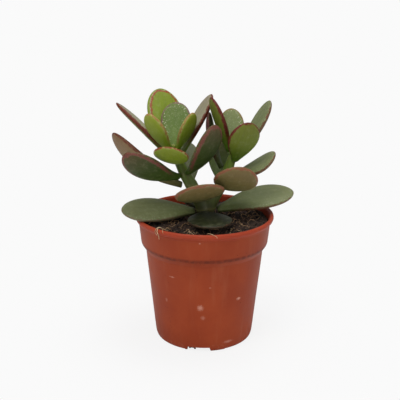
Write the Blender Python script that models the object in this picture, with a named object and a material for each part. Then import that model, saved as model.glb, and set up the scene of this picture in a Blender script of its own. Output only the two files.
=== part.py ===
"""Potted jade plant: a thin terracotta-coloured plastic nursery pot, its fill of soil, one forked
stem, 24 thick leaves and two tip buds.  Metres, +Z up, the pot standing on z = 0 with its axis on the Z axis.
Every dimension below is in millimetres or degrees."""
import math

import bpy
import numpy as np

MM = 0.001

# ---- pot
LIP_RADIUS = 42.5
POT_HEIGHT = 79.3
FLOOR_UNDER = 3.0
FLOOR_TOP = 4.4
POT_SIDES = 48
FOOT_LIFT = 0.8            # the foot ring stands this much off the table between its pads
NOTCHES = 3
NOTCH_CENTRE = 264.0       # heading of the front notch; 270 is straight to the front
NOTCH_HALF = 12.5
NOTCH_HEIGHT = 2.8
PAD_BEFORE = 4.0           # pad left of each notch
PAD_AFTER = 19.0           # pad right of each notch
HOLE_TURN = -8.0           # drain hole, from the middle of its notch
HOLE_RADIUS = 3.2
HOLE_REACH = 27.4
HOLE_TOP = 5.3
CUT_INNER = 26.0           # the foot's cutters run from inside the ring to outside the pot
CUT_OUTER = 34.0
CUT_BELOW = -1.0           # and start below the table

# ---- soil
SOIL_LEVEL = 75.6
SOIL_TILT = 1.6            # rise towards the front, over 40 mm
SOIL_BUMP = 0.5
SOCKET_RADIUS = 4.9
SOCKET_FLOOR = 66.0

# ---- leaves
LEAF_GAP = 0.35
LEAF_SIDES = 10
LEAF_STATIONS = (0.0, 0.12, 0.28, 0.45, 0.62, 0.76, 0.87, 0.95)
TOP_SHARE = 0.36           # part of a leaf's thickness above its margin

# Each arm of the stem: x, y, z of its axis and its radius.
LEFT_ARM = (
    (0.3, 0.0, 66.5, 4.4), (0.0, 0.0, 74.0, 4.4), (-0.8, -0.2, 80.0, 4.2),
    (-3.2, -0.4, 87.0, 4.0), (-7.0, -0.5, 95.0, 3.8), (-11.6, -0.5, 102.8, 3.4),
    (-15.6, 0.0, 111.0, 2.8), (-18.2, 0.0, 117.5, 2.2), (-18.8, 0.0, 119.4, 1.3),
)
RIGHT_ARM = (
    (0.4, 0.0, 72.0, 3.0), (0.8, 0.0, 76.5, 3.3), (2.2, 0.2, 80.5, 3.7), (5.4, 0.3, 88.0, 3.7),
    (10.2, 0.3, 97.0, 3.4), (13.8, 0.0, 106.0, 3.1), (16.2, 0.0, 113.5, 2.6),
    (17.2, 0.0, 117.6, 2.0), (17.5, 0.0, 119.2, 1.2),
)
ARMS = {"left": LEFT_ARM, "right": RIGHT_ARM}

# Each leaf: arm, height of its base, heading, rise at the base, how much the rise grows along the
# leaf, length, width, thickness, roll about its own length.
LEAVES = {
    "base_right_leaf": ("right", 83.0, 11, 17, -13, 49.5, 23.5, 5.5, 16),
    "base_left_leaf": ("left", 82.4, 194, 9, -10, 45, 25.0, 5.5, -15),
    "base_front_leaf": ("left", 80.5, 279, 10, -12, 35, 26.0, 5.0, 0),
    "base_back_leaf": ("left", 80.5, 100, 6, 0, 30, 21.0, 5.0, 0),
    "left_low_front_leaf": ("left", 90.0, 274, 17, 23, 36, 29.0, 5.0, 8),
    "left_low_back_leaf": ("left", 97.0, 97, 31, 14, 33, 15.0, 4.5, 0),
    "left_long_leaf": ("left", 99.5, 165, 15, 37, 54, 21.0, 4.8, 48),
    "left_side_leaf": ("left", 104.5, 211, 8, 40, 40, 20.5, 5.0, 40),
    "left_inner_leaf": ("left", 104.5, 311, 31, 46, 41, 20.0, 5.0, 5),
    "left_front_leaf": ("left", 112.5, 260, 18, 25, 28, 20.5, 4.5, -2),
    "left_back_leaf": ("left", 113.0, 109, 46, 6, 50, 25.0, 5.0, 12),
    "left_wing_leaf": ("left", 115.5, 167, 49, -12, 46, 15.0, 4.6, 14),
    "left_spear_leaf": ("left", 114.8, 23, 66, -11, 40, 14.5, 4.6, 0),
    "left_heart_leaf": ("left", 119.2, 87, 54, -3, 31, 18.2, 4.5, 0),
    "left_top_leaf_a": ("left", 119.2, 216, 52, 10, 28, 13.5, 4.2, 18),
    "left_top_leaf_b": ("left", 119.2, 324, 55, 16, 26, 13.5, 4.0, 0),
    "right_low_front_leaf": ("right", 98.5, 287, 4, 56, 36, 25.5, 5.0, -14),
    "right_low_back_leaf": ("right", 96.5, 88, 42, 14, 31, 17.0, 4.6, 0),
    "right_side_leaf": ("right", 105.5, 352, 12, 36, 29, 19.0, 4.8, 12),
    "right_inner_leaf": ("right", 106.5, 176, 67, 20, 34.5, 16.5, 4.4, -6),
    "right_front_leaf": ("right", 114.0, 295, 46, 24, 30, 19.0, 4.6, -5),
    "right_back_leaf": ("right", 114.0, 91, 50, 9, 32, 16.0, 4.5, -8),
    "right_spear_leaf": ("right", 118.0, 202, 75, -10, 35, 16.4, 4.6, -2),
    "right_wing_leaf": ("right", 115.8, 21, 56, 4, 38, 17.7, 4.6, -5),
    "left_bud": ("left", 119.6, 270, 84, 0, 3.0, 2.4, 1.8, 0),
    "right_bud": ("right", 119.2, 270, 80, 0, 4.0, 3.4, 2.4, 0),
}

for old in list(bpy.data.objects):
    bpy.data.objects.remove(old, do_unlink=True)


def material(name, colour, roughness):
    made = bpy.data.materials.new(name)
    made.use_nodes = True
    shader = made.node_tree.nodes["Principled BSDF"]
    shader.inputs["Base Color"].default_value = (*colour, 1.0)
    shader.inputs["Roughness"].default_value = roughness
    return made


def solid(name, points, faces, stuff, smooth=True):
    """A mesh object from points in millimetres, its faces turned to point out of the body."""
    points = np.asarray(points, float)
    volume = 0.0
    for face in faces:
        for i in range(1, len(face) - 1):
            a, b, c = points[face[0]], points[face[i]], points[face[i + 1]]
            volume += float(np.dot(a, np.cross(b, c)))
    if volume < 0:
        faces = [tuple(reversed(face)) for face in faces]
    mesh = bpy.data.meshes.new(name)
    mesh.from_pydata([tuple(p * MM) for p in points], [], [tuple(f) for f in faces])
    mesh.materials.append(stuff)
    for polygon in mesh.polygons:
        polygon.use_smooth = smooth
    made = bpy.data.objects.new(name, mesh)
    bpy.context.scene.collection.objects.link(made)
    return made


def cutter(name, points, faces):
    made = solid(name, points, faces, POT_STUFF, smooth=False)
    made.hide_render = True
    made.display_type = "WIRE"
    return made


def boolean(target, other, operation):
    made = target.modifiers.new(operation.lower() + "_" + other.name, "BOOLEAN")
    made.operation = operation
    made.object = other
    made.solver = "EXACT"


def loft(rings, cap_start=True, cap_end=True):
    """Points and faces joining equal closed rings, with a flat cap on each open end."""
    count = len(rings[0])
    points = [p for ring in rings for p in ring]
    faces = []
    for k in range(len(rings) - 1):
        for i in range(count):
            j = (i + 1) % count
            faces.append((k * count + i, k * count + j, (k + 1) * count + j, (k + 1) * count + i))
    if cap_start:
        faces.append(tuple(reversed(range(count))))
    if cap_end:
        faces.append(tuple(range((len(rings) - 1) * count, len(rings) * count)))
    return points, faces


def ring_at(radius, z, sides, bump=None):
    made = []
    for i in range(sides):
        a = 2 * math.pi * i / sides
        x, y = radius * math.cos(a), radius * math.sin(a)
        made.append((x, y, z if bump is None else bump(x, y)))
    return made


def turned(name, profile, sides, stuff):
    """A closed body turned about Z from a profile whose two ends lie on the axis."""
    rings = [ring_at(r, z, sides) for r, z in profile[1:-1]]
    points, faces = loft(rings, cap_start=False, cap_end=False)
    low, high = len(points), len(points) + 1
    points += [(0.0, 0.0, profile[0][1]), (0.0, 0.0, profile[-1][1])]
    last = (len(rings) - 1) * sides
    for i in range(sides):
        j = (i + 1) % sides
        faces.append((low, j, i))
        faces.append((high, last + i, last + j))
    return solid(name, points, faces, stuff)


def prism(corners, low, high):
    """An upright prism over a loop of corners in plan."""
    return loft([[(x, y, low) for x, y in corners], [(x, y, high) for x, y in corners]])


def polar(radius, heading):
    a = math.radians(heading)
    return radius * math.cos(a), radius * math.sin(a)


POT_STUFF = material("pot_plastic", (0.36, 0.07, 0.03), 0.45)
SOIL_STUFF = material("soil_peat", (0.035, 0.022, 0.014), 0.95)
STEM_STUFF = material("stem_green", (0.10, 0.17, 0.04), 0.5)
LEAF_STUFF = material("leaf_green", (0.11, 0.19, 0.05), 0.4)

# ---- pot: foot ring, tapered body, shoulder, collar and rolled lip, then back down the inside
POT_PROFILE = (
    (0.0, FLOOR_UNDER), (28.2, FLOOR_UNDER), (28.4, 0.0), (29.4, 0.0), (30.2, 0.7), (30.7, 2.5),
    (31.3, 8.0), (33.0, 25.0), (35.3, 47.0), (36.3, 57.4), (36.7, 58.2), (38.8, 61.2),
    (39.2, 62.4), (40.4, 74.2), (40.9, 75.7), (42.0, 76.3), (LIP_RADIUS, 77.5), (42.3, 78.6),
    (41.6, POT_HEIGHT), (40.7, 79.1), (40.0, 78.2), (39.2, 74.2), (38.0, 62.6), (37.6, 61.6),
    (35.5, 58.6), (35.1, 57.6), (34.1, 47.0), (31.8, 25.0), (30.1, 8.0), (29.4, 5.4),
    (28.4, FLOOR_TOP), (0.0, FLOOR_TOP),
)
pot = turned("pot", POT_PROFILE, POT_SIDES, POT_STUFF)


def notch_shape(heading):
    """A wedge through the foot ring, wider at the table than at its top."""
    rings = []
    for z, spread in ((CUT_BELOW, 2.4), (0.0, 1.8), (NOTCH_HEIGHT, 0.0)):
        half = NOTCH_HALF + spread
        rings.append([
            (*polar(CUT_INNER, heading - half), z), (*polar(CUT_OUTER, heading - half), z),
            (*polar(CUT_OUTER, heading + half), z), (*polar(CUT_INNER, heading + half), z),
        ])
    return loft(rings)


def relief_shape(start, end):
    """A shallow ring sector that lifts the foot ring off the table."""
    steps = 10
    outer = [polar(CUT_OUTER, start + (end - start) * i / steps) for i in range(steps + 1)]
    inner = [polar(CUT_INNER, end - (end - start) * i / steps) for i in range(steps + 1)]
    return prism(outer + inner, CUT_BELOW, FOOT_LIFT)


for n in range(NOTCHES):
    middle = NOTCH_CENTRE + 360.0 * n / NOTCHES
    boolean(pot, cutter(f"cut_notch_{n}", *notch_shape(middle)), "DIFFERENCE")
    start = middle + NOTCH_HALF + PAD_AFTER
    end = middle + 360.0 / NOTCHES - NOTCH_HALF - PAD_BEFORE
    boolean(pot, cutter(f"cut_relief_{n}", *relief_shape(start, end)), "DIFFERENCE")
    hx, hy = polar(HOLE_REACH, middle + HOLE_TURN)
    hole = [(hx + HOLE_RADIUS * math.cos(2 * math.pi * i / 12),
             hy + HOLE_RADIUS * math.sin(2 * math.pi * i / 12)) for i in range(12)]
    boolean(pot, cutter(f"cut_drain_{n}", *prism(hole, CUT_BELOW, HOLE_TOP)), "DIFFERENCE")


# ---- soil: fills the pot, with a lumpy top and a socket for the foot of the stem
def soil_top(x, y):
    lumps = math.sin(0.31 * x + 1.0) * math.cos(0.27 * y - 0.4) + 0.6 * math.sin(0.17 * x - 0.36 * y)
    return SOIL_LEVEL - SOIL_TILT * y / 40.0 + SOIL_BUMP * lumps


SOIL_SIDES = 32
soil_rings = [ring_at(r, z, SOIL_SIDES) for r, z in (
    (27.6, 4.8), (28.9, 5.7), (29.7, 8.2), (31.4, 25.0), (33.7, 47.0), (34.7, 57.7), (37.1, 61.9),
    (37.6, 63.0))]
soil_rings += [ring_at(r, 0.0, SOIL_SIDES, soil_top) for r in (38.6, 37.0, 30.0, 21.0, 12.0)]
soil_points, soil_faces = loft(soil_rings, cap_start=False, cap_end=False)
for z, first in ((4.8, 0), (soil_top(0.0, 0.0), (len(soil_rings) - 1) * SOIL_SIDES)):
    soil_points.append((0.0, 0.0, z))
    for i in range(SOIL_SIDES):
        fan = (len(soil_points) - 1, first + (i + 1) % SOIL_SIDES, first + i)
        soil_faces.append(fan if first == 0 else tuple(reversed(fan)))
soil = solid("soil", soil_points, soil_faces, SOIL_STUFF)
boolean(soil, cutter("cut_socket", *loft(
    [ring_at(SOCKET_RADIUS, SOCKET_FLOOR, 16), ring_at(SOCKET_RADIUS, 90.0, 16)])), "DIFFERENCE")


# ---- stem: two arms that share one foot
def along(arm, height):
    """Axis point, axis direction and radius of an arm at a height."""
    table = np.array(ARMS[arm])
    at = [float(np.interp(height, table[:, 2], table[:, k])) for k in (0, 1, 3)]
    near = [np.interp(height + d, table[:, 2], table[:, 0]) for d in (-2.0, 2.0)]
    run = [np.interp(height + d, table[:, 2], table[:, 1]) for d in (-2.0, 2.0)]
    axis = np.array([near[1] - near[0], run[1] - run[0], 4.0])
    return np.array([at[0], at[1], height]), axis / np.linalg.norm(axis), at[2]


def arm_shape(arm, sides=10):
    table = np.array(ARMS[arm])
    rings = []
    for k, (x, y, z, radius) in enumerate(table):
        before, after = table[max(k - 1, 0)][:3], table[min(k + 1, len(table) - 1)][:3]
        axis = (after - before) / np.linalg.norm(after - before)
        across = np.cross((0.0, 1.0, 0.0), axis)
        across /= np.linalg.norm(across)
        other = np.cross(axis, across)
        rings.append([np.array((x, y, z)) + radius * (
            math.cos(2 * math.pi * i / sides) * across
            + math.sin(2 * math.pi * i / sides) * other) for i in range(sides)])
    return loft(rings)


stem = solid("stem", *arm_shape("left"), STEM_STUFF)
right_arm = solid("right_arm", *arm_shape("right"), STEM_STUFF)
right_arm.hide_render = True
right_arm.display_type = "WIRE"
boolean(stem, right_arm, "UNION")


# ---- leaves
def leaf_outline(t):
    """Half-width of a leaf along its length: narrow foot, broadest past the middle, blunt tip."""
    if t < 0.62:
        return 0.24 + 0.76 * math.sin(math.pi / 2 * t / 0.62) ** 1.35
    return (1.0 - ((t - 0.62) / 0.38) ** 2.1) ** 0.55


def leaf_thickness(t):
    return (0.6 + 0.4 * math.sin(math.pi / 2 * min(t / 0.45, 1.0))) * math.sqrt(1.0 - t ** 5)


def leaf_frame(heading, rise, roll):
    h, e, q = math.radians(heading), math.radians(rise), math.radians(roll)
    ahead = np.array([math.cos(e) * math.cos(h), math.cos(e) * math.sin(h), math.sin(e)])
    side = np.array([-math.sin(h), math.cos(h), 0.0])
    up = np.cross(ahead, side)
    return ahead, math.cos(q) * side + math.sin(q) * up, math.cos(q) * up - math.sin(q) * side


def leaf(name, arm, height, heading, rise, arch, length, width, thickness, roll):
    foot, axis, radius = along(arm, height)
    ahead, side, up = leaf_frame(heading, rise, roll)
    out = np.array([math.cos(math.radians(heading)), math.sin(math.radians(heading)), 0.0])
    out -= np.dot(out, axis) * axis
    out /= np.linalg.norm(out)
    inner = TOP_SHARE if np.dot(up, out) < 0 else 1.0 - TOP_SHARE
    deep = inner * thickness * leaf_thickness(0.0) * float(np.dot(up, out))
    wide = 0.5 * width * leaf_outline(0.0) * float(np.dot(side, out))
    stand = radius + LEAF_GAP + math.hypot(deep, wide)
    at = foot + stand * out
    rings, last = [], 0.0
    for t in LEAF_STATIONS + (1.0,):
        middle = rise + arch * (t + last) / 2
        at = at + (t - last) * length * leaf_frame(heading, middle, roll)[0]
        last = t
        if t == 1.0:
            break
        ahead, side, up = leaf_frame(heading, rise + arch * t, roll)
        ring = []
        for i in range(LEAF_SIDES):
            a = 2 * math.pi * i / LEAF_SIDES
            lift = math.copysign(abs(math.sin(a)) ** 0.85, math.sin(a))
            lift *= TOP_SHARE if lift > 0 else 1.0 - TOP_SHARE
            ring.append(at + 0.5 * width * leaf_outline(t) * math.cos(a) * side
                        + thickness * leaf_thickness(t) * lift * up)
        rings.append(ring)
    points, faces = loft(rings, cap_end=False)
    points.append(at)
    first = (len(rings) - 1) * LEAF_SIDES
    for i in range(LEAF_SIDES):
        faces.append((first + i, first + (i + 1) % LEAF_SIDES, len(points) - 1))
    return solid(name, points, faces, LEAF_STUFF)


for leaf_name, numbers in LEAVES.items():
    leaf(leaf_name, *numbers)
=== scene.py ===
"""A young potted jade plant on a pale floor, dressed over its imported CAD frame.
Shapes are in millimetres and degrees and become metres in piece(). Names that end in _M, the
lamps' places and the scales of node textures are in metres."""
import math
import random

import bpy
import numpy as np
from mathutils import Matrix, Vector, noise


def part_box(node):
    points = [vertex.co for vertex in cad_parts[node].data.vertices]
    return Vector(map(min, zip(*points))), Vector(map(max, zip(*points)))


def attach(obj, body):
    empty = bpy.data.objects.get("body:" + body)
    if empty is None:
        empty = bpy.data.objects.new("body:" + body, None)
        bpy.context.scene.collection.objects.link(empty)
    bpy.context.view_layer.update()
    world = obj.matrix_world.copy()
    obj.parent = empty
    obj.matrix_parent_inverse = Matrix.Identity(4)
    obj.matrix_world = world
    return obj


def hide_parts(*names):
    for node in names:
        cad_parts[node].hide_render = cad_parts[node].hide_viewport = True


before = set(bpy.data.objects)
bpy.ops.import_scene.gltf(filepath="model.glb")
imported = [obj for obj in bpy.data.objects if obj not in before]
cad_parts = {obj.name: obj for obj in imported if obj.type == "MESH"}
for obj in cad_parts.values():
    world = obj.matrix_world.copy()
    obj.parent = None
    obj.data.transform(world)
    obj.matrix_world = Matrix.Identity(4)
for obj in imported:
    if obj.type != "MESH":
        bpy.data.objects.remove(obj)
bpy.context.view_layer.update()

MM = 0.001
SCENE = bpy.context.scene

# ---- shape numbers shared with the CAD part
LIP_RADIUS = 42.5
POT_HEIGHT = 79.3
FLOOR_UNDER = 3.0
FLOOR_TOP = 4.4
FOOT_LIFT = 0.8
NOTCHES = 3
NOTCH_CENTRE = 264.0
NOTCH_HALF = 12.5
NOTCH_HEIGHT = 2.8
PAD_BEFORE = 4.0
PAD_AFTER = 19.0
HOLE_TURN = -8.0
HOLE_RADIUS = 3.2
HOLE_REACH = 27.4
HOLE_TOP = 5.3
POT_PROFILE = (
    (0.0, FLOOR_UNDER), (28.2, FLOOR_UNDER), (28.4, 0.0), (29.4, 0.0), (30.2, 0.7), (30.7, 2.5),
    (31.3, 8.0), (33.0, 25.0), (35.3, 47.0), (36.3, 57.4), (36.7, 58.2), (38.8, 61.2),
    (39.2, 62.4), (40.4, 74.2), (40.9, 75.7), (42.0, 76.3), (LIP_RADIUS, 77.5), (42.3, 78.6),
    (41.6, POT_HEIGHT), (40.7, 79.1), (40.0, 78.2), (39.2, 74.2), (38.0, 62.6), (37.6, 61.6),
    (35.5, 58.6), (35.1, 57.6), (34.1, 47.0), (31.8, 25.0), (30.1, 8.0), (29.4, 5.4),
    (28.4, FLOOR_TOP), (0.0, FLOOR_TOP),
)
SOIL_LEVEL = 75.6
SOIL_TILT = 1.6
SOIL_BUMP = 0.5
LEFT_ARM = (
    (0.3, 0.0, 66.5, 4.4), (0.0, 0.0, 74.0, 4.4), (-0.8, -0.2, 80.0, 4.2),
    (-3.2, -0.4, 87.0, 4.0), (-7.0, -0.5, 95.0, 3.8), (-11.6, -0.5, 102.8, 3.4),
    (-15.6, 0.0, 111.0, 2.8), (-18.2, 0.0, 117.5, 2.2), (-18.8, 0.0, 119.4, 1.3),
)
RIGHT_ARM = (
    (0.4, 0.0, 72.0, 3.0), (0.8, 0.0, 76.5, 3.3), (2.2, 0.2, 80.5, 3.7), (5.4, 0.3, 88.0, 3.7),
    (10.2, 0.3, 97.0, 3.4), (13.8, 0.0, 106.0, 3.1), (16.2, 0.0, 113.5, 2.6),
    (17.2, 0.0, 117.6, 2.0), (17.5, 0.0, 119.2, 1.2),
)
TOP_SHARE = 0.36

# Each leaf: heading, rise at the base, growth of the rise along the leaf, length, width,
# thickness, roll, finish.
LEAVES = {
    "base_right_leaf": (11, 17, -13, 49.5, 23.5, 5.5, 16, "bloom"),
    "base_left_leaf": (194, 9, -10, 45, 25.0, 5.5, -15, "bloom_dark"),
    "base_front_leaf": (279, 10, -12, 35, 26.0, 5.0, 0, "shade"),
    "base_back_leaf": (100, 6, 0, 30, 21.0, 5.0, 0, "shade"),
    "left_low_front_leaf": (274, 17, 23, 36, 29.0, 5.0, 8, "khaki"),
    "left_low_back_leaf": (97, 31, 14, 33, 15.0, 4.5, 0, "bloom_dark"),
    "left_long_leaf": (165, 15, 37, 54, 21.0, 4.8, 48, "flushed"),
    "left_side_leaf": (211, 8, 40, 40, 20.5, 5.0, 40, "deep"),
    "left_inner_leaf": (311, 31, 46, 41, 20.0, 5.0, 5, "deep"),
    "left_front_leaf": (260, 18, 25, 28, 20.5, 4.5, -2, "young"),
    "left_back_leaf": (109, 46, 6, 50, 25.0, 5.0, 12, "back"),
    "left_wing_leaf": (167, 49, -12, 46, 15.0, 4.6, 14, "bright"),
    "left_spear_leaf": (23, 66, -11, 40, 14.5, 4.6, 0, "bright"),
    "left_heart_leaf": (87, 54, -3, 31, 18.2, 4.5, 0, "heart"),
    "left_top_leaf_a": (216, 52, 10, 28, 13.5, 4.2, 18, "tender"),
    "left_top_leaf_b": (324, 55, 16, 26, 13.5, 4.0, 0, "tender"),
    "right_low_front_leaf": (287, 4, 56, 36, 25.5, 5.0, -14, "khaki"),
    "right_low_back_leaf": (88, 42, 14, 31, 17.0, 4.6, 0, "deep"),
    "right_side_leaf": (352, 12, 36, 29, 19.0, 4.8, 12, "bloom"),
    "right_inner_leaf": (176, 67, 20, 34.5, 16.5, 4.4, -6, "dusk_painted_shade"),
    "right_front_leaf": (295, 46, 24, 30, 19.0, 4.6, -5, "fresh"),
    "right_back_leaf": (91, 50, 9, 32, 16.0, 4.5, -8, "silver"),
    "right_spear_leaf": (202, 75, -10, 35, 16.4, 4.6, -2, "fresh"),
    "right_wing_leaf": (21, 56, 4, 38, 17.7, 4.6, -5, "bloom"),
    "left_bud": (270, 84, 0, 3.0, 2.4, 1.8, 0, "bud"),
    "right_bud": (270, 80, 0, 4.0, 3.4, 2.4, 0, "bud"),
}


# ---- node helpers
def srgb(r, g, b):
    """Linear colour from 0-255 display values."""
    made = []
    for c in (r, g, b):
        c /= 255.0
        made.append(c / 12.92 if c <= 0.04045 else ((c + 0.055) / 1.055) ** 2.4)
    return (*made, 1.0)


class Nodes:
    """Short calls for building one material's node tree."""

    def __init__(self, name):
        self.material = bpy.data.materials.new(name)
        self.material.use_nodes = True
        self.tree = self.material.node_tree
        self.tree.nodes.clear()
        self.out = self.tree.nodes.new("ShaderNodeOutputMaterial")

    def put(self, socket, value):
        if isinstance(value, bpy.types.NodeSocket):
            self.tree.links.new(value, socket)
        elif value is not None:
            socket.default_value = value

    def add(self, kind, **inputs):
        made = self.tree.nodes.new(kind)
        for key, value in inputs.items():
            self.put(made.inputs[key.replace("_", " ")], value)
        return made

    def attribute(self, name):
        made = self.tree.nodes.new("ShaderNodeAttribute")
        made.attribute_name = name
        return made.outputs["Fac"]

    def math(self, operation, a, b=None, c=None, clamp=False):
        made = self.tree.nodes.new("ShaderNodeMath")
        made.operation = operation
        made.use_clamp = clamp
        for socket, value in zip(made.inputs, (a, b, c)):
            self.put(socket, value)
        return made.outputs[0]

    def span(self, value, low, high, start=0.0, end=1.0):
        """value mapped smoothly from low..high to start..end."""
        made = self.tree.nodes.new("ShaderNodeMapRange")
        made.interpolation_type = "SMOOTHSTEP"
        for socket, given in zip(made.inputs, (value, low, high, start, end)):
            self.put(socket, given)
        return made.outputs[0]

    def band(self, value, foot, rise, fall, end):
        """1 between rise and fall, smoothly down to 0 at foot and at end."""
        return self.math("MULTIPLY", self.span(value, foot, rise),
                         self.span(value, fall, end, 1.0, 0.0))

    def mix(self, factor, a, b):
        made = self.tree.nodes.new("ShaderNodeMix")
        made.data_type = "RGBA"
        self.put(made.inputs[0], factor)
        self.put(made.inputs[6], a)
        self.put(made.inputs[7], b)
        return made.outputs[2]

    def where(self):
        return self.tree.nodes.new("ShaderNodeTexCoord").outputs["Object"]

    def scaled(self, vector, x, y, z):
        made = self.add("ShaderNodeMapping", Vector=vector)
        made.inputs["Scale"].default_value = (x, y, z)
        return made.outputs[0]

    def offset(self, vector, origin):
        made = self.tree.nodes.new("ShaderNodeVectorMath")
        made.operation = "SUBTRACT"
        self.put(made.inputs[0], vector)
        made.inputs[1].default_value = origin
        return made.outputs[0]

    def length(self, vector):
        made = self.tree.nodes.new("ShaderNodeVectorMath")
        made.operation = "LENGTH"
        self.put(made.inputs[0], vector)
        return made.outputs["Value"]

    def noise(self, vector, scale, detail=3.0, rough=0.55):
        made = self.add("ShaderNodeTexNoise", Vector=vector)
        made.inputs["Scale"].default_value = scale
        made.inputs["Detail"].default_value = detail
        made.inputs["Roughness"].default_value = rough
        return made.outputs["Fac"]

    def cells(self, vector, scale):
        made = self.add("ShaderNodeTexVoronoi", Vector=vector)
        made.inputs["Scale"].default_value = scale
        return made.outputs["Distance"]

    def bump(self, height, strength, distance):
        made = self.add("ShaderNodeBump", Height=height)
        made.inputs["Strength"].default_value = strength
        made.inputs["Distance"].default_value = distance
        return made.outputs[0]

    def finish(self, shader):
        self.tree.links.new(shader, self.out.inputs["Surface"])
        return self.material


# ---- materials
# Marks on the pot: heading, height, half-size around, half-size up, strength.
SCUFFS = (
    (266.2, 30.6, 3.2, 3.4, 0.55), (269.0, 23.8, 2.6, 2.4, 0.3), (307.5, 34.0, 2.6, 1.6, 0.75),
    (237.8, 48.9, 3.4, 0.7, 0.5), (266.2, 73.7, 1.2, 0.8, 0.6), (298.5, 5.6, 5.5, 1.6, 0.4),
    (275.8, 44.1, 1.3, 0.8, 0.3), (228.0, 32.0, 1.8, 2.2, 0.25), (96.0, 36.0, 4.0, 2.4, 0.4),
    (141.0, 22.0, 2.2, 3.0, 0.35), (38.0, 44.0, 3.0, 1.0, 0.45), (350.0, 27.0, 2.2, 2.4, 0.35),
)

# Heights on the pot: where the lip turns redder, where painted shade darkens the collar's step,
# where specks thin out around it, and how high the foot is worn.
LIP_REDDENS = (73.0, 78.0)
STEP_SHADE_PAINTED = (59.6, 61.4, 62.2, 63.6)
STEP_SPECKS = (52.0, 60.0, 62.0, 69.0)
WORN_FOOT = 7.0
OUTER_ROWS = slice(3, 19)  # the rows of the profile from the foot's edge up to the lip


def body_radius(height):
    """Outer radius of the pot at a height."""
    rows = POT_PROFILE[OUTER_ROWS]
    return float(np.interp(height, [z for r, z in rows], [r for r, z in rows]))


def pot_material():
    n = Nodes("pot_plastic")
    at = n.where()
    parts = n.add("ShaderNodeSeparateXYZ", Vector=at)
    height = n.math("MULTIPLY", parts.outputs["Z"], 1.0 / MM)
    cloud = n.noise(at, 45.0, 4.0)
    fine = n.noise(at, 900.0, 2.0)
    colour = n.mix(n.span(cloud, 0.3, 0.7), srgb(142, 56, 27), srgb(154, 65, 33))
    colour = n.mix(n.span(height, *LIP_REDDENS, 0.0, 0.5), colour, srgb(170, 62, 42))
    streaks = n.noise(n.scaled(at, 160.0, 160.0, 14.0), 1.0, 5.0, 0.6)
    colour = n.mix(n.span(streaks, 0.5, 0.8, 0.0, 0.2), colour, srgb(172, 106, 78))
    broken = n.noise(at, 1500.0, 4.0, 0.75)
    for heading, z, wide, tall, strength in SCUFFS:
        x, y = polar(body_radius(z) * MM, heading)
        shaped = n.scaled(n.offset(at, (x, y, z * MM)), 1.0 / wide, 1.0 / wide, 1.0 / tall)
        far = n.math("MULTIPLY_ADD", n.length(shaped), 1.0 / MM, n.math("MULTIPLY", broken, 1.4))
        mark = n.math("MULTIPLY", n.span(far, 0.75, 1.5, 1.0, 0.0), strength)
        colour = n.mix(mark, colour, srgb(214, 160, 140))
    grime_and_shade = n.noise(at, 420.0, 4.0, 0.7)
    # painted shade: a dark line under the collar's step, broken up by noise (the same noise marks the worn
    # foot)
    line = n.band(height, *STEP_SHADE_PAINTED)
    colour = n.mix(n.math("MULTIPLY", line, n.span(grime_and_shade, 0.36, 0.6, 0.3, 0.75)), colour, srgb(84, 32, 19))
    near = n.band(height, *STEP_SPECKS)
    specks = n.span(n.cells(at, 520.0), 0.05, 0.2, 1.0, 0.0)
    sparse = n.math("MULTIPLY", near, n.span(n.noise(at, 130.0, 2.0), 0.5, 0.62))
    faint = n.math("MULTIPLY", n.span(n.noise(at, 70.0, 2.0), 0.62, 0.68), 0.7)
    sparse = n.math("MAXIMUM", sparse, faint)
    colour = n.mix(n.math("MULTIPLY", specks, sparse), colour, srgb(50, 26, 18))
    worn = n.math("MULTIPLY", n.span(height, 0.0, WORN_FOOT, 1.0, 0.0),
                  n.span(grime_and_shade, 0.5, 0.75, 0.0, 0.35))
    colour = n.mix(worn, colour, srgb(176, 128, 104))
    shader = n.add("ShaderNodeBsdfPrincipled", Base_Color=colour)
    n.put(shader.inputs["Roughness"], n.span(cloud, 0.2, 0.8, 0.42, 0.55))
    n.put(shader.inputs["Normal"], n.bump(n.math("ADD", fine, cloud), 0.12, 0.0004))
    shader.inputs["Specular IOR Level"].default_value = 0.14
    return n.finish(shader.outputs[0])


def soil_material():
    n = Nodes("soil_peat")
    at = n.where()
    clumps = n.noise(at, 160.0, 6.0, 0.7)
    grains = n.noise(at, 900.0, 4.0, 0.7)
    colour = n.mix(n.span(clumps, 0.35, 0.65), srgb(30, 20, 15), srgb(74, 54, 42))
    colour = n.mix(n.span(grains, 0.55, 0.75, 0.0, 0.6), colour, srgb(104, 80, 60))
    flecks = n.span(n.cells(at, 420.0), 0.0, 0.12, 1.0, 0.0)
    flecks = n.math("MULTIPLY", flecks, n.span(n.noise(at, 120.0), 0.55, 0.62))
    colour = n.mix(n.math("MULTIPLY", flecks, 0.7), colour, srgb(150, 126, 100))
    shader = n.add("ShaderNodeBsdfPrincipled", Base_Color=colour)
    shader.inputs["Roughness"].default_value = 0.92
    n.put(shader.inputs["Normal"], n.bump(n.math("ADD", clumps, grains), 0.8, 0.0012))
    return n.finish(shader.outputs[0])


def fibre_material(name, light, dark):
    n = Nodes(name)
    at = n.where()
    colour = n.mix(n.span(n.noise(at, 400.0), 0.35, 0.65), light, dark)
    shader = n.add("ShaderNodeBsdfPrincipled", Base_Color=colour)
    shader.inputs["Roughness"].default_value = 0.8
    n.put(shader.inputs["Normal"], n.bump(n.noise(at, 1800.0), 0.4, 0.0002))
    return n.finish(shader.outputs[0])


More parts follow.
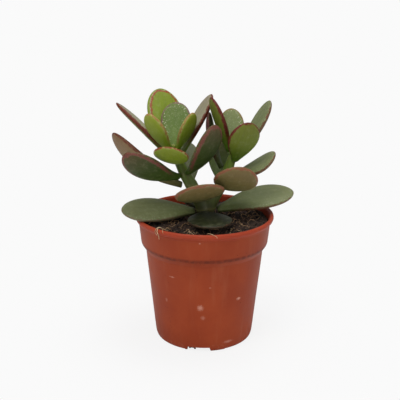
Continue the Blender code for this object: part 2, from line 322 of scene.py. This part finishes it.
def stem_material():
    n = Nodes("stem_green")
    at = n.where()
    height = n.attribute("height")
    young = n.mix(n.span(height, 88.0, 112.0), srgb(74, 84, 34), srgb(104, 128, 40))
    colour = n.mix(n.span(height, 74.0, 90.0), srgb(62, 56, 36), young)
    streak = n.noise(n.scaled(at, 420.0, 420.0, 60.0), 1.0, 4.0)
    colour = n.mix(n.span(streak, 0.45, 0.7, 0.0, 0.5), colour, srgb(96, 92, 48))
    rings = n.attribute("scar")
    colour = n.mix(n.math("MULTIPLY", rings, 0.55), colour, srgb(120, 118, 70))
    shader = n.add("ShaderNodeBsdfPrincipled", Base_Color=colour)
    shader.inputs["Roughness"].default_value = 0.5
    n.put(shader.inputs["Normal"], n.bump(streak, 0.25, 0.0005))
    return n.finish(shader.outputs[0])


# Each finish: upper face at the base and beyond, under face at the base and beyond, margin line,
# the skin outside that line (its own tint mixed with painted light, as that strip catches light from
# above), the line's place (mm onto the upper face) and width, strength of the speckles, flush of the tip.
FINISHES = {
    "young": ((128, 150, 40), (116, 138, 34), (140, 160, 46), (124, 142, 36), (126, 44, 20),
              (160, 150, 100), 0.5, 1.0, 0.15, 0.1),
    "tender": ((138, 158, 52), (134, 154, 50), (140, 162, 44), (136, 152, 42), (150, 112, 62),
               (168, 160, 96), 0.2, 0.7, 0.1, 0.12),
    "bud": ((140, 160, 60), (140, 160, 60), (140, 160, 60), (130, 150, 50), (120, 110, 60),
            (150, 160, 90), 0.0, 0.3, 0.0, 0.0),
    "back": ((118, 140, 30), (116, 134, 30), (140, 160, 52), (128, 146, 46), (136, 46, 22),
             (168, 160, 130), 2.5, 1.1, 0.1, 0.05),
    "fresh": ((92, 120, 28), (94, 116, 30), (82, 118, 18), (108, 120, 38), (92, 24, 24),
              (108, 36, 32), 0.3, 1.3, 0.1, 0.2),
    "heart": ((96, 120, 36), (86, 108, 40), (120, 140, 60), (100, 124, 50), (112, 84, 78),
              (140, 124, 112), 0.9, 0.9, 0.95, 0.1),
    "silver": ((96, 114, 54), (112, 124, 74), (96, 112, 54), (98, 110, 54), (128, 100, 58),
               (140, 126, 92), 0.7, 0.8, 0.95, 0.1),
    "bright": ((132, 140, 104), (150, 146, 122), (108, 132, 44), (100, 118, 42), (98, 38, 24),
               (118, 56, 42), 0.2, 1.5, 0.2, 0.3),
    "bloom": ((92, 102, 56), (114, 122, 82), (78, 90, 44), (82, 90, 46), (104, 68, 48),
              (112, 98, 70), 0.0, 0.7, 0.2, 0.1),
    "bloom_dark": ((84, 92, 50), (106, 112, 76), (68, 78, 40), (64, 72, 36), (110, 96, 70),
                   (122, 118, 90), 0.0, 0.7, 0.15, 0.1),
    "deep": ((70, 88, 32), (84, 98, 48), (72, 98, 28), (58, 72, 30), (112, 62, 54),
             (118, 92, 74), -1.0, 1.5, 0.1, 0.35),
    # painted shade: the leaf's own dark green and purple margin, painted darker for the leaf seen in
    # shadow behind the leaves in front
    "dusk_painted_shade": ((66, 76, 38), (72, 76, 46), (60, 72, 28), (52, 56, 30), (80, 38, 38),
             (92, 56, 52), -0.3, 1.5, 0.15, 0.4),
    "khaki": ((106, 112, 64), (112, 114, 72), (92, 96, 46), (108, 98, 56), (128, 76, 54),
              (136, 112, 76), -0.4, 1.0, 0.1, 0.25),
    "flushed": ((104, 100, 62), (112, 96, 68), (110, 108, 62), (136, 112, 76), (104, 54, 38),
                (116, 76, 54), -0.2, 1.4, 0.1, 0.45),
    # painted shade: the low leaves under the others are painted very dark
    "shade": ((38, 42, 20), (30, 34, 16), (36, 38, 20), (32, 34, 18), (58, 46, 30),
              (50, 46, 28), 0.0, 0.6, 0.05, 0.05),
}


def leaf_material(name):
    (up_foot, up_body, low_foot, low_body, margin, outside_tint_and_light, place, band, speckle,
     flush) = FINISHES[name]
    n = Nodes("leaf_" + name)
    at = n.where()
    rim, upper, along, across = (n.attribute(k) for k in ("rim", "upper", "along", "across"))
    cloud = n.noise(at, 90.0, 3.0)
    reach = n.span(n.math("ADD", along, n.math("MULTIPLY", cloud, 0.3)), 0.1, 0.75)
    top = n.mix(reach, srgb(*up_foot), srgb(*up_body))
    under = n.mix(reach, srgb(*low_foot), srgb(*low_body))
    colour = n.mix(upper, under, top)
    grid = n.add("ShaderNodeCombineXYZ", X=n.math("MULTIPLY", across, 9.0),
                 Y=n.math("MULTIPLY", along, 2.2), Z=upper).outputs[0]
    streak = n.noise(grid, 1.0, 4.0, 0.6)
    colour = n.mix(n.span(streak, 0.3, 0.75, 0.0, 0.35), colour,
                   n.mix(0.5, colour, srgb(46, 60, 26)))
    mottle = n.noise(at, 330.0, 4.0, 0.65)
    colour = n.mix(n.span(mottle, 0.45, 0.8, 0.0, 0.26), colour,
                   n.mix(0.5, colour, srgb(190, 190, 150)))
    # hydathodes: pale specks, crowding towards the margin of the upper face
    spots = n.span(n.cells(at, 820.0), 0.1, 0.42, 1.0, 0.0)
    crowd = n.math("MULTIPLY", n.span(rim, 0.5, 5.0, 1.0, 0.12), n.span(along, 0.2, 0.5, 0.3, 1.0))
    spots = n.math("MULTIPLY", n.math("MULTIPLY", spots, crowd),
                   n.math("MULTIPLY", upper, speckle))
    colour = n.mix(spots, colour, srgb(214, 208, 182))
    # flushed outer part, then the toothed margin line with its beads
    tip = n.math("MULTIPLY", n.span(along, 0.55, 1.0), flush)
    colour = n.mix(n.math("MULTIPLY", tip, n.span(mottle, 0.2, 0.8, 0.55, 1.0)), colour,
                   srgb(*margin))
    signed = n.math("MULTIPLY", rim, n.math("MULTIPLY_ADD", upper, 2.0, -1.0))
    inside = n.math("SUBTRACT", signed, place)
    outer = n.span(along, 0.1, 0.4)
    # painted light: the strip just past the margin line takes the outside skin's colour, its own tint
    # mixed with the light that strip catches from above
    past_lit_strip = n.band(inside, -1.6, -0.5, -0.1, 0.1)
    colour = n.mix(n.math("MULTIPLY", past_lit_strip, n.math("MULTIPLY", outer, 0.75)), colour, srgb(*outside_tint_and_light))
    wobble = n.math("MULTIPLY_ADD", n.noise(at, 420.0, 3.0), 1.4, -0.7)
    teeth = n.math("MULTIPLY_ADD", n.cells(at, 560.0), 1.5, -0.6)
    edge = n.math("ADD", inside, n.math("ADD", wobble, teeth))
    red = n.band(edge, -band, -0.25 * band, 0.25 * band, band)
    red = n.math("MULTIPLY", n.math("MULTIPLY", red, outer), 0.9)
    colour = n.mix(red, colour, srgb(*margin))
    beads = n.span(n.cells(at, 900.0), 0.08, 0.35, 1.0, 0.0)
    beads = n.math("MULTIPLY", beads, n.math("MULTIPLY", red, 0.4))
    colour = n.mix(beads, colour, n.mix(0.5, srgb(*margin), srgb(226, 150, 110)))
    shader = n.add("ShaderNodeBsdfPrincipled", Base_Color=colour)
    n.put(shader.inputs["Roughness"], n.span(cloud, 0.2, 0.8, 0.42, 0.56))
    shader.inputs["Specular IOR Level"].default_value = 0.22
    shader.inputs["Subsurface Weight"].default_value = 0.1
    shader.inputs["Subsurface Radius"].default_value = (0.0016, 0.002, 0.0006)
    height = n.math("ADD", n.math("MULTIPLY", mottle, 0.7), n.math("MULTIPLY", streak, 0.6))
    n.put(shader.inputs["Normal"], n.bump(n.math("ADD", height, spots), 0.22, 0.0005))
    return n.finish(shader.outputs[0])


# ---- mesh helpers
def piece(name, points, faces, stuff, attributes=None, smooth=True):
    points = np.asarray(points, float)
    mesh = bpy.data.meshes.new(name)
    mesh.from_pydata([tuple(p * MM) for p in points], [], [tuple(f) for f in faces])
    mesh.materials.append(stuff)
    mesh.polygons.foreach_set("use_smooth", [smooth] * len(mesh.polygons))
    for key, values in (attributes or {}).items():
        layer = mesh.attributes.new(key, "FLOAT", "POINT")
        layer.data.foreach_set("value", [float(v) for v in values])
    made = bpy.data.objects.new(name, mesh)
    SCENE.collection.objects.link(made)
    return made


def loft(rings, cap_start=True, cap_end=True):
    count = len(rings[0])
    points = [p for ring in rings for p in ring]
    faces = []
    for k in range(len(rings) - 1):
        for i in range(count):
            j = (i + 1) % count
            faces.append((k * count + i, k * count + j, (k + 1) * count + j, (k + 1) * count + i))
    if cap_start:
        faces.append(tuple(reversed(range(count))))
    if cap_end:
        faces.append(tuple(range((len(rings) - 1) * count, len(rings) * count)))
    return points, faces


def ring_at(radius, z, sides):
    return [(radius * math.cos(2 * math.pi * i / sides), radius * math.sin(2 * math.pi * i / sides), z)
            for i in range(sides)]


def polar(radius, heading):
    a = math.radians(heading)
    return radius * math.cos(a), radius * math.sin(a)


def cut(target, other):
    other.hide_render = True
    other.hide_viewport = True
    made = target.modifiers.new("cut", "BOOLEAN")
    made.operation = "DIFFERENCE"
    made.object = other
    made.solver = "EXACT"


def bake(target):
    """Applies the modifiers and drops the cutters they used."""
    graph = bpy.context.evaluated_depsgraph_get()
    helpers = [m.object for m in target.modifiers if m.type == "BOOLEAN"]
    fresh = bpy.data.meshes.new_from_object(target.evaluated_get(graph))
    target.modifiers.clear()
    target.data = fresh
    for helper in helpers:
        bpy.data.objects.remove(helper, do_unlink=True)


# ---- pot
CUT_INNER = 26.0           # the foot's cutters run from inside the ring to outside the pot
CUT_OUTER = 34.0
CUT_BELOW = -1.0           # and start below the table
CORNER_CUT = 1.2           # most that a corner of the profile is rounded
SHARP_FROM = 35.0


def rounded(profile, steps=3):
    """The profile with each inner corner replaced by a short arc."""
    made = [profile[0]]
    for before, here, after in zip(profile, profile[1:], profile[2:]):
        before, here, after = (np.array(p) for p in (before, here, after))
        back, on = np.linalg.norm(here - before), np.linalg.norm(after - here)
        trim = min(0.3 * back, 0.3 * on, CORNER_CUT)
        start = here + trim * (before - here) / back
        end = here + trim * (after - here) / on
        for k in range(steps + 1):
            t = k / steps
            made.append(tuple((1 - t) ** 2 * start + 2 * t * (1 - t) * here + t ** 2 * end))
    made.append(profile[-1])
    return made


def make_pot(stuff):
    sides = 120
    profile = rounded(POT_PROFILE)
    points, faces = loft([ring_at(r, z, sides) for r, z in profile[1:-1]], False, False)
    low, high = len(points), len(points) + 1
    points += [(0.0, 0.0, profile[0][1]), (0.0, 0.0, profile[-1][1])]
    last = (len(profile) - 3) * sides
    for i in range(sides):
        j = (i + 1) % sides
        faces += [(low, j, i), (high, last + i, last + j)]
    pot = piece("pot_body", points, faces, stuff)
    for n in range(NOTCHES):
        middle = NOTCH_CENTRE + 360.0 * n / NOTCHES
        rings = []
        for z, spread in ((CUT_BELOW, 2.4), (0.0, 1.8), (NOTCH_HEIGHT, 0.0)):
            half = NOTCH_HALF + spread
            corners = ((CUT_INNER, -half), (CUT_OUTER, -half), (CUT_OUTER, half), (CUT_INNER, half))
            rings.append([(*polar(r, middle + turn), z) for r, turn in corners])
        cut(pot, piece(f"notch_{n}", *loft(rings), stuff, smooth=False))
        start = middle + NOTCH_HALF + PAD_AFTER
        end = middle + 360.0 / NOTCHES - NOTCH_HALF - PAD_BEFORE
        steps = 24
        edge = [polar(CUT_OUTER, start + (end - start) * i / steps) for i in range(steps + 1)]
        edge += [polar(CUT_INNER, end - (end - start) * i / steps) for i in range(steps + 1)]
        relief = loft([[(x, y, CUT_BELOW) for x, y in edge], [(x, y, FOOT_LIFT) for x, y in edge]])
        cut(pot, piece(f"relief_{n}", *relief, stuff, smooth=False))
        hx, hy = polar(HOLE_REACH, middle + HOLE_TURN)
        hole = [[(x + hx, y + hy, z) for x, y, z in ring_at(HOLE_RADIUS, level, 24)]
                for level in (CUT_BELOW, HOLE_TOP)]
        cut(pot, piece(f"drain_{n}", *loft(hole), stuff, smooth=False))
    bake(pot)
    pot.data.polygons.foreach_set("use_smooth", [True] * len(pot.data.polygons))
    pot.data.set_sharp_from_angle(angle=math.radians(SHARP_FROM))
    return pot


# ---- soil
def soil_top(x, y):
    lumps = math.sin(0.31 * x + 1.0) * math.cos(0.27 * y - 0.4) + 0.6 * math.sin(0.17 * x - 0.36 * y)
    return SOIL_LEVEL - SOIL_TILT * y / 40.0 + SOIL_BUMP * lumps


def rough_soil(x, y):
    at = Vector((x * 0.25, y * 0.25, 3.0))
    broad = noise.fractal(at, 1.0, 2.0, 4)
    fine = noise.fractal(at * 4.0, 0.9, 2.0, 3)
    return soil_top(x, y) - 0.4 + 0.9 * broad + 0.5 * fine


SOIL_EDGE = 38.7           # the soil's top ends just short of the wall
SKIRT = (38.2, 68.0)       # radius and height of the lower rim of the soil's skin
STEM_CLEAR = 6.0           # crumbs keep this far from the pot's axis


def make_soil(stuff):
    sides = 180
    radii = np.linspace(SOIL_EDGE, 0.9, 66)
    rings = [[(*polar(r, 360.0 * i / sides), 0.0) for i in range(sides)] for r in radii]
    rings = [[(x, y, rough_soil(x, y)) for x, y, z in ring] for ring in rings]
    skirt = ring_at(*SKIRT, sides)
    points, faces = loft([skirt] + rings)
    return piece("soil_top", points, faces, stuff)


def crumb_points(rng, at, size):
    """A small faceted lump: a rough ellipsoid of two rings and two poles."""
    sides = 6
    stretch = [size * rng.uniform(0.6, 1.2) for _ in range(3)]
    turn = Matrix.Rotation(rng.uniform(0, 6.3), 3, Vector((rng.random(), rng.random(), 1.0)).normalized())
    made = []
    for lat in (-0.5, 0.5):
        for i in range(sides):
            a = 2 * math.pi * i / sides
            made.append(Vector((math.cos(a) * 0.86, math.sin(a) * 0.86, lat)))
    made += [Vector((0, 0, -1)), Vector((0, 0, 1))]
    made = [turn @ Vector([c * s * rng.uniform(0.8, 1.2) for c, s in zip(p, stretch)]) for p in made]
    faces = []
    for i in range(sides):
        j = (i + 1) % sides
        faces += [(i, j, sides + j, sides + i), (2 * sides, j, i), (2 * sides + 1, sides + i, sides + j)]
    return [tuple(p + Vector(at)) for p in made], faces


def scatter(name, stuff, seed, count, sizes, reach, sink=0.2):
    rng = random.Random(seed)
    points, faces = [], []
    for _ in range(count):
        r, a = reach[0] + (reach[1] - reach[0]) * math.sqrt(rng.random()), rng.uniform(0, 360)
        x, y = polar(r, a)
        if math.hypot(x, y) < STEM_CLEAR:
            continue
        size = rng.uniform(*sizes)
        lump, sides = crumb_points(rng, (x, y, rough_soil(x, y) + size * sink), size)
        faces += [tuple(len(points) + i for i in f) for f in sides]
        points += lump
    return piece(name, points, faces, stuff, smooth=False)


def strand(path, radius, sides=5):
    """Tube along a list of points, thinner at both ends."""
    path = [Vector(p) for p in path]
    rings = []
    for k, p in enumerate(path):
        ahead = (path[min(k + 1, len(path) - 1)] - path[max(k - 1, 0)]).normalized()
        side = ahead.cross(Vector((0.3, 0.2, 1.0))).normalized()
        other = ahead.cross(side)
        r = radius * (0.35 if k in (0, len(path) - 1) else 1.0)
        rings.append([tuple(p + r * (math.cos(2 * math.pi * i / sides) * side
                                     + math.sin(2 * math.pi * i / sides) * other)) for i in range(sides)])
    return loft(rings)


def fibres(name, stuff, seed, count, lengths, radius, zone):
    rng = random.Random(seed)
    points, faces = [], []
    for _ in range(count):
        a, r = rng.uniform(*zone[0]), rng.uniform(*zone[1])
        x, y = polar(r, a)
        heading, turn = rng.uniform(0, 360), rng.uniform(-30, 30)
        length, lift = rng.uniform(*lengths), rng.uniform(0.3, 2.2)
        path = []
        steps = 9
        for k in range(steps + 1):
            t = k / steps
            if math.hypot(x, y) > SKIRT[0]:
                break
            path.append((x, y, rough_soil(x, y) + 0.2 + lift * math.sin(math.pi * t)))
            dx, dy = polar(length / steps, heading)
            x, y, heading = x + dx, y + dy, heading + turn
        if len(path) < 4:
            continue
        tube, sides = strand(path, radius * rng.uniform(0.6, 1.2))
        faces += [tuple(len(points) + i for i in f) for f in sides]
        points += tube
    return piece(name, points, faces, stuff)


# Fibres with a set place: the fibre's own radius, then rows of heading, distance from the pot's
# axis and height.
RIM_FIBRES = (
    (0.22, ((232, 34.0, 76.6), (231, 37.5, 78.2), (230.5, 40.2, 79.9), (230.4, 41.9, 80.0),
            (230.9, 43.0, 78.2), (231.6, 42.4, 75.8), (231.2, 41.6, 73.2))),
    (0.16, ((229, 35.0, 76.8), (229.6, 39.0, 79.6), (229.2, 41.8, 79.9), (228.6, 42.9, 77.8),
            (229.4, 41.9, 75.4))),
    (0.14, ((234, 36.0, 76.9), (234.6, 40.0, 79.8), (235.4, 42.2, 79.6), (236.6, 42.7, 78.0))),
    (0.15, ((271, 37.0, 76.4), (272.5, 39.8, 79.4), (274.5, 41.2, 79.9), (277, 42.2, 79.4),
            (279, 42.6, 78.6), (280, 42.3, 77.4))),
    (0.15, ((252, 33.0, 76.4), (255, 35.5, 78.6), (259, 36.5, 78.2), (262, 37.4, 76.9))),
    (0.13, ((249, 30.0, 76.6), (253, 32.0, 79.0), (256, 35.0, 78.4), (257, 37.0, 76.9))),
    (0.15, ((305, 28.0, 76.8), (300, 31.0, 78.0), (296, 34.0, 77.6), (293, 36.6, 76.8))),
)


def placed_strands(name, stuff):
    points, faces = [], []
    for radius, rows in RIM_FIBRES:
        path = smooth_path([(*polar(r, a), z, radius) for a, r, z in rows])
        tube, sides = strand([row[:3] for row in path], radius)
        faces += [tuple(len(points) + i for i in f) for f in sides]
        points += tube
    return piece(name, points, faces, stuff)


def make_plug(stuff):
    """Compost showing through each drain hole."""
    rng = random.Random(11)
    points, faces = [], []
    for n in range(NOTCHES):
        middle = NOTCH_CENTRE + 360.0 * n / NOTCHES + HOLE_TURN
        for _ in range(60):
            x, y = polar(HOLE_REACH + rng.uniform(-1.6, 2.0), middle + rng.uniform(-4.0, 3.6))
            at = (x, y, rng.uniform(0.9, 4.4))
            lump, sides = crumb_points(rng, at, rng.uniform(0.4, 0.8))
            faces += [tuple(len(points) + i for i in f) for f in sides]
            points += lump
    return piece("drain_plugs", points, faces, stuff, smooth=False)


# ---- stem
def smooth_path(table, steps=6):
    """Catmull-Rom points through the rows of a table."""
    rows = np.array(table, float)
    rows = np.vstack([2 * rows[0] - rows[1], rows, 2 * rows[-1] - rows[-2]])
    made = []
    for k in range(1, len(rows) - 2):
        a, b, c, d = rows[k - 1:k + 3]
        for s in range(steps):
            t = s / steps
            made.append(0.5 * (2 * b + (c - a) * t + (2 * a - 5 * b + 4 * c - d) * t ** 2
                               + (3 * b - a - 3 * c + d) * t ** 3))
    made.append(rows[-2])
    return made


# Heights where leaf pairs sit, and the swelling there.
JOINTS = {"left": (81.5, 91.0, 97.5, 104.5, 112.5, 118.0), "right": (82.5, 97.5, 106.0, 114.0)}
SWELL_SHARE, SWELL_REACH, SCAR_REACH = 0.06, 1.3, 0.9
SKIN_VOXEL = 0.55


def make_stem(stuff):
    """Both arms as one skin, ringed where leaf pairs sit."""
    sides = 24
    points, faces = [], []
    for arm, table in (("left", LEFT_ARM), ("right", RIGHT_ARM)):
        rows = smooth_path(table)
        rings = []
        for k, (x, y, z, radius) in enumerate(rows):
            ahead = Vector(rows[min(k + 1, len(rows) - 1)][:3] - rows[max(k - 1, 0)][:3]).normalized()
            across = Vector((0, 1, 0)).cross(ahead).normalized()
            other = ahead.cross(across)
            swell = sum(math.exp(-((z - j) / SWELL_REACH) ** 2) for j in JOINTS[arm])
            radius = float(radius) * (1.0 + SWELL_SHARE * swell)
            rings.append([tuple(Vector((x, y, z)) + radius * (
                math.cos(2 * math.pi * i / sides) * across
                + math.sin(2 * math.pi * i / sides) * other)) for i in range(sides)])
        tube, tube_faces = loft(rings)
        faces += [tuple(len(points) + i for i in f) for f in tube_faces]
        points += tube
    stem = piece("stem_skin", points, faces, stuff)
    remesh = stem.modifiers.new("skin", "REMESH")
    remesh.mode = "VOXEL"
    remesh.voxel_size = SKIN_VOXEL * MM
    relax = stem.modifiers.new("relax", "SMOOTH")
    relax.factor = 0.5
    relax.iterations = 6
    bake(stem)
    stem.data.polygons.foreach_set("use_smooth", [True] * len(stem.data.polygons))
    heights = np.array([v.co.z / MM for v in stem.data.vertices])
    left = np.array([v.co.x < 0.0 for v in stem.data.vertices])
    scar = np.zeros(len(heights))
    for side, arm in ((left, "left"), (~left, "right")):
        for j in JOINTS[arm]:
            scar = np.maximum(scar, np.where(side, np.exp(-((heights - j) / SCAR_REACH) ** 2), 0.0))
    for key, values in (("height", heights), ("scar", scar)):
        layer = stem.data.attributes.new(key, "FLOAT", "POINT")
        layer.data.foreach_set("value", values)
    return stem


# ---- leaves
def leaf_outline(t):
    if t < 0.62:
        return 0.24 + 0.76 * math.sin(math.pi / 2 * t / 0.62) ** 1.35
    return (1.0 - ((t - 0.62) / 0.38) ** 2.1) ** 0.55


def leaf_thickness(t):
    return (0.6 + 0.4 * math.sin(math.pi / 2 * min(t / 0.45, 1.0))) * math.sqrt(1.0 - t ** 5)


def leaf_frame(heading, rise, roll):
    h, e, q = math.radians(heading), math.radians(rise), math.radians(roll)
    ahead = np.array([math.cos(e) * math.cos(h), math.cos(e) * math.sin(h), math.sin(e)])
    side = np.array([-math.sin(h), math.cos(h), 0.0])
    up = np.cross(ahead, side)
    return ahead, math.cos(q) * side + math.sin(q) * up, math.cos(q) * up - math.sin(q) * side


LEAF_SIDES = 40
LEAF_STEPS = 38
LAST_STATION = 0.9995      # the small end ring that closes the tip
GROOVE_DEPTH, GROOVE_HALF = 0.05, 0.22  # the faint channel along the upper face


def make_leaf(node, heading, rise, arch, length, width, thickness, roll, stuff):
    """A leaf centred in its CAD node's box, with the values that its material reads."""
    sides = LEAF_SIDES
    stations = [math.sin(math.pi / 2 * k / LEAF_STEPS) ** 0.9 for k in range(LEAF_STEPS)]
    stations.append(LAST_STATION)
    at, last = np.zeros(3), 0.0
    rings, rim, upper, along, across = [], [], [], [], []
    for t in stations:
        at = at + (t - last) * length * leaf_frame(heading, rise + arch * (t + last) / 2, roll)[0]
        last = t
        ahead, side, up = leaf_frame(heading, rise + arch * t, roll)
        half, deep = 0.5 * width * leaf_outline(t), thickness * leaf_thickness(t)
        ring = []
        for i in range(sides):
            a = 2 * math.pi * i / sides
            c, s = math.cos(a), math.sin(a)
            lift = math.copysign(abs(s) ** 0.72, s) * (TOP_SHARE if s > 0 else 1.0 - TOP_SHARE)
            if s > 0:
                lift -= GROOVE_DEPTH * math.exp(-(c / GROOVE_HALF) ** 2) * math.sin(math.pi * t)
            ring.append(at + half * c * side + deep * lift * up)
            rim.append(min(half * (1.0 - abs(c)) + 0.25 * deep * abs(lift), (1.0 - t) * length))
            upper.append(min(max(0.5 + 4.0 * s, 0.0), 1.0))
            along.append(t)
            across.append(c)
        rings.append(ring)
    points, faces = loft(rings)
    points = np.array(points)
    low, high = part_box(node)
    wanted = (np.array(low) + np.array(high)) / 2 / MM
    points += wanted - (points.min(axis=0) + points.max(axis=0)) / 2
    return piece(node + "_blade", points, faces, stuff,
                 {"rim": rim, "upper": upper, "along": along, "across": across})


# ---- the object
def dress(made, node):
    """A piece that stands for a CAD node."""
    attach(made, "root")
    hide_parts(node)


def dress_extra(made):
    """A piece of litter or root that the CAD leaves out."""
    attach(made, "root")


PEAT = soil_material()
dress(make_pot(pot_material()), "pot")
dress(make_soil(PEAT), "soil")
dress_extra(scatter("soil_crumbs", PEAT, 3, 900, (0.35, 1.1), (5.0, 37.4)))
BARK = fibre_material("soil_bark", srgb(128, 98, 70), srgb(74, 52, 38))
dress_extra(scatter("soil_bark", BARK, 8, 170, (0.4, 0.9), (8.0, 37.0)))
STRAW = fibre_material("root_fibre", srgb(196, 160, 118), srgb(140, 104, 70))
dress_extra(fibres("soil_fibres", STRAW, 5, 90, (4.0, 12.0), 0.16, ((0, 360), (10.0, 37.0))))
PALE = fibre_material("pale_root", srgb(214, 184, 146), srgb(170, 138, 100))
dress_extra(placed_strands("rim_fibres", PALE))
dress_extra(make_plug(PEAT))
dress(make_stem(stem_material()), "stem")
SKINS = {name: leaf_material(name) for name in FINISHES}
for node, numbers in LEAVES.items():
    dress(make_leaf(node, *numbers[:7], SKINS[numbers[7]]), node)


# ---- stage
PAPER = srgb(250, 250, 250)
FLOOR_RADIUS = 3000.0
SHADOW_SHARE = 0.12        # how much of the floor's own shading shows beside the pot
SHADOW_REACH_M = (0.04, 0.12)


def make_floor():
    n = Nodes("floor_paper")
    path = n.tree.nodes.new("ShaderNodeLightPath")
    white = n.add("ShaderNodeEmission", Color=PAPER)
    paper = n.add("ShaderNodeBsdfDiffuse", Color=(0.82, 0.82, 0.82, 1.0))
    shaded = n.span(n.length(n.where()), *SHADOW_REACH_M, SHADOW_SHARE, 0.0)
    seen = n.math("MULTIPLY", path.outputs["Is Camera Ray"], n.math("SUBTRACT", 1.0, shaded))
    mixed = n.add("ShaderNodeMixShader", Fac=seen)
    n.put(mixed.inputs[1], paper.outputs[0])
    n.put(mixed.inputs[2], white.outputs[0])
    stuff = n.finish(mixed.outputs[0])
    sides = 64
    points = ring_at(FLOOR_RADIUS, 0.0, sides)
    floor = piece("floor", points, [tuple(range(sides))], stuff, smooth=False)


ROOM_LIGHT = 0.38


def make_world():
    """Even light all round, which the camera sees as white paper."""
    world = bpy.data.worlds.new("studio")
    SCENE.world = world
    world.use_nodes = True
    tree = world.node_tree
    tree.nodes.clear()
    out = tree.nodes.new("ShaderNodeOutputWorld")
    path = tree.nodes.new("ShaderNodeLightPath")
    seen = tree.nodes.new("ShaderNodeBackground")
    seen.inputs["Color"].default_value = PAPER
    lit = tree.nodes.new("ShaderNodeBackground")
    lit.inputs["Color"].default_value = (1.0, 1.0, 1.0, 1.0)
    lit.inputs["Strength"].default_value = ROOM_LIGHT
    mixed = tree.nodes.new("ShaderNodeMixShader")
    tree.links.new(path.outputs["Is Camera Ray"], mixed.inputs[0])
    tree.links.new(lit.outputs[0], mixed.inputs[1])
    tree.links.new(seen.outputs[0], mixed.inputs[2])
    tree.links.new(mixed.outputs[0], out.inputs["Surface"])


# Each lamp: place in metres, power in watts, size in metres.
LAMPS = {
    "key": ((-0.35, -0.55, 0.95), 5.4, 0.6),
    "top": ((0.15, 0.1, 1.1), 5.0, 0.6),
    "fill": ((0.6, -0.6, 0.5), 1.2, 0.7),
}
LAMP_AIM = (0.0, 0.0, 0.1)


def lamp(name, place, power, size):
    data = bpy.data.lights.new(name, "AREA")
    data.energy = power
    data.shape = "DISK"
    data.size = size
    made = bpy.data.objects.new(name, data)
    SCENE.collection.objects.link(made)
    made.location = place
    made.rotation_euler = (Vector(LAMP_AIM) - Vector(place)).to_track_quat("-Z", "Y").to_euler()


CAMERA_DISTANCE_M = 0.42471
CAMERA_HEIGHT_M = 0.21762
CAMERA_PITCH = 17.07
CAMERA_YAW = -0.386
CAMERA_ROLL = 0.26
CAMERA_LENS = 65.27


def make_camera():
    data = bpy.data.cameras.new("front")
    data.lens = CAMERA_LENS
    data.sensor_width = 36.0
    data.clip_start = 0.01
    made = bpy.data.objects.new("front", data)
    SCENE.collection.objects.link(made)
    pitch, yaw = math.radians(CAMERA_PITCH), math.radians(CAMERA_YAW)
    ahead = Vector((math.sin(yaw) * math.cos(pitch), math.cos(yaw) * math.cos(pitch), -math.sin(pitch)))
    right = Vector((math.cos(yaw), -math.sin(yaw), 0.0))
    up = right.cross(ahead)
    turn = Matrix((right, up, -ahead)).transposed() @ Matrix.Rotation(math.radians(CAMERA_ROLL), 3, "Z")
    made.matrix_world = Matrix.Translation((0.0, -CAMERA_DISTANCE_M, CAMERA_HEIGHT_M)) @ turn.to_4x4()
    SCENE.camera = made


make_floor()
make_world()
for lamp_name, settings in LAMPS.items():
    lamp(lamp_name, *settings)
make_camera()
SCENE.view_settings.view_transform = "Standard"
